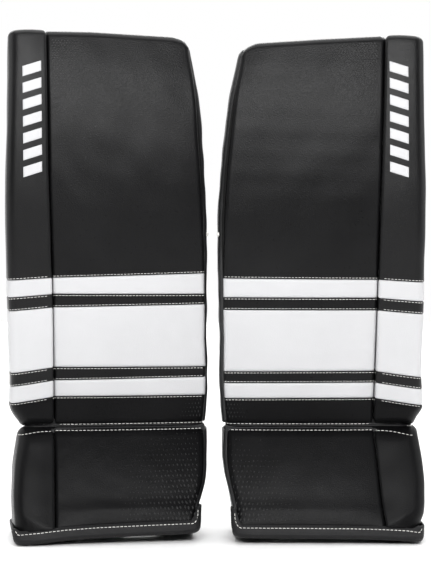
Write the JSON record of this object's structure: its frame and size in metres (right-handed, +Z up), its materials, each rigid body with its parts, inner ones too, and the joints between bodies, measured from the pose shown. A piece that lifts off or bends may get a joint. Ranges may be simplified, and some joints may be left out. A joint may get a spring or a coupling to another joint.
{
  "type": "ice hockey goalie leg pads",
  "caption": "Pair of upright ice hockey goalie leg pads in black with white shin bands, hinged knee and boot breaks, opening calf wraps, knee wings and buckled straps.",
  "frame": {"origin": "middle of the pair's bounding box, at floor level", "axes": "+Z up; the faces look towards -Y; the wearer's right pad stands at -X"},
  "size_m": [0.562, 0.2846, 0.671],
  "materials": {
    "black_leather": "satin",
    "roll_leather": "satin",
    "white_leather": "satin",
    "lining_nylon": "matte",
    "knee_foam": "matte",
    "base_leather": "satin",
    "eyelet_metal": "satin",
    "buckle_plastic": "satin",
    "webbing": "matte",
    "elastic": "matte"
  },
  "bodies": {
    "right_shin": {"right_shin_core": "black_leather", "right_shin_roll": "roll_leather", "right_knee_panel": "black_leather", "right_white_bands": "white_leather", "right_black_bands": "black_leather", "right_shin_liner": "lining_nylon", "right_ankle_gusset": "black_leather", "right_calf_pillow": "lining_nylon", "right_knee_stack": "knee_foam"},
    "right_thigh": {"right_thigh_core": "black_leather", "right_thigh_roll": "roll_leather", "right_thigh_cover": "black_leather"},
    "right_boot": {"right_boot_core": "black_leather", "right_boot_roll": "roll_leather", "right_boot_cover": "black_leather", "right_boot_base": "base_leather", "right_toe_tab": "base_leather", "right_toe_eyelets": "eyelet_metal", "right_boot_buckle": "buckle_plastic"},
    "right_outer_wrap": {"right_outer_calf_wrap": "lining_nylon", "right_lower_calf_strap": "webbing", "right_upper_calf_strap": "webbing", "right_lower_calf_clip": "buckle_plastic", "right_upper_calf_clip": "buckle_plastic"},
    "right_inner_wrap": {"right_inner_calf_wrap": "lining_nylon", "right_calf_buckles": "buckle_plastic"},
    "right_knee_wing": {"right_knee_wing": "lining_nylon", "right_knee_strap": "elastic"},
    "right_boot_strap": {"right_boot_strap": "webbing", "right_boot_clip": "buckle_plastic"},
    "left_shin": {"left_shin_core": "black_leather", "left_shin_roll": "roll_leather", "left_knee_panel": "black_leather", "left_white_bands": "white_leather", "left_black_bands": "black_leather", "left_shin_liner": "lining_nylon", "left_ankle_gusset": "black_leather", "left_calf_pillow": "lining_nylon", "left_knee_stack": "knee_foam"},
    "left_thigh": {"left_thigh_core": "black_leather", "left_thigh_roll": "roll_leather", "left_thigh_cover": "black_leather"},
    "left_boot": {"left_boot_core": "black_leather", "left_boot_roll": "roll_leather", "left_boot_cover": "black_leather", "left_boot_base": "base_leather", "left_toe_tab": "base_leather", "left_toe_eyelets": "eyelet_metal", "left_boot_buckle": "buckle_plastic"},
    "left_outer_wrap": {"left_outer_calf_wrap": "lining_nylon", "left_lower_calf_strap": "webbing", "left_upper_calf_strap": "webbing", "left_lower_calf_clip": "buckle_plastic", "left_upper_calf_clip": "buckle_plastic"},
    "left_inner_wrap": {"left_inner_calf_wrap": "lining_nylon", "left_calf_buckles": "buckle_plastic"},
    "left_knee_wing": {"left_knee_wing": "lining_nylon", "left_knee_strap": "elastic"},
    "left_boot_strap": {"left_boot_strap": "webbing", "left_boot_clip": "buckle_plastic"}
  },
  "joints": [
    {"name": "right_thigh_flex", "type": "hinge", "parent": "right_shin", "child": "right_thigh", "pos_m": [-0.13682, -0.09128, 0.432], "axis": [-0.9903, -0.1392, 0], "range_deg": [-6, 12], "stiffness_Nm_per_rad": 25},
    {"name": "right_boot_flex", "type": "hinge", "parent": "right_shin", "child": "right_boot", "pos_m": [-0.14433, -0.0378, 0.15], "axis": [-0.9903, -0.1392, 0], "range_deg": [-8, 20], "stiffness_Nm_per_rad": 60},
    {"name": "right_outer_wrap_open", "type": "hinge", "parent": "right_shin", "child": "right_outer_wrap", "pos_m": [-0.24164, -0.01365, 0.24934], "axis": [0.0243, -0.1729, 0.9846], "range_deg": [0, 70]},
    {"name": "right_inner_wrap_open", "type": "hinge", "parent": "right_shin", "child": "right_inner_wrap", "pos_m": [-0.05745, 0.01224, 0.24934], "axis": [-0.0243, 0.1729, -0.9846], "range_deg": [0, 70]},
    {"name": "right_knee_wing_open", "type": "hinge", "parent": "right_shin", "child": "right_knee_wing", "pos_m": [-0.23848, -0.03612, 0.37734], "axis": [0.0243, -0.1729, 0.9846], "range_deg": [0, 70]},
    {"name": "right_boot_strap_open", "type": "hinge", "parent": "right_boot", "child": "right_boot_strap", "pos_m": [-0.07625, 0.02383, 0.11829], "axis": [-0.0243, 0.1729, -0.9846], "range_deg": [0, 60]},
    {"name": "left_thigh_flex", "type": "hinge", "parent": "left_shin", "child": "left_thigh", "pos_m": [0.14547, -0.09169, 0.432], "axis": [-1, 0.0087, 0], "range_deg": [-6, 12], "stiffness_Nm_per_rad": 25},
    {"name": "left_boot_flex", "type": "hinge", "parent": "left_shin", "child": "left_boot", "pos_m": [0.14594, -0.03769, 0.15], "axis": [-1, 0.0087, 0], "range_deg": [-8, 20], "stiffness_Nm_per_rad": 60},
    {"name": "left_outer_wrap_open", "type": "hinge", "parent": "left_shin", "child": "left_outer_wrap", "pos_m": [0.23927, -0.00104, 0.24934], "axis": [0.0015, 0.1746, -0.9846], "range_deg": [0, 70]},
    {"name": "left_inner_wrap_open", "type": "hinge", "parent": "left_shin", "child": "left_inner_wrap", "pos_m": [0.05327, 0.00059, 0.24934], "axis": [-0.0015, -0.1746, 0.9846], "range_deg": [0, 70]},
    {"name": "left_knee_wing_open", "type": "hinge", "parent": "left_shin", "child": "left_knee_wing", "pos_m": [0.23907, -0.02373, 0.37734], "axis": [0.0015, 0.1746, -0.9846], "range_deg": [0, 70]},
    {"name": "left_boot_strap_open", "type": "hinge", "parent": "left_boot", "child": "left_boot_strap", "pos_m": [0.07039, 0.01453, 0.11829], "axis": [-0.0015, -0.1746, 0.9846], "range_deg": [0, 60]},
    {"name": "set_apart", "type": "slide", "parent": "right_shin", "child": "left_shin", "axis": [1, 0, 0], "range_m": [0, 0.35]}
  ]
}
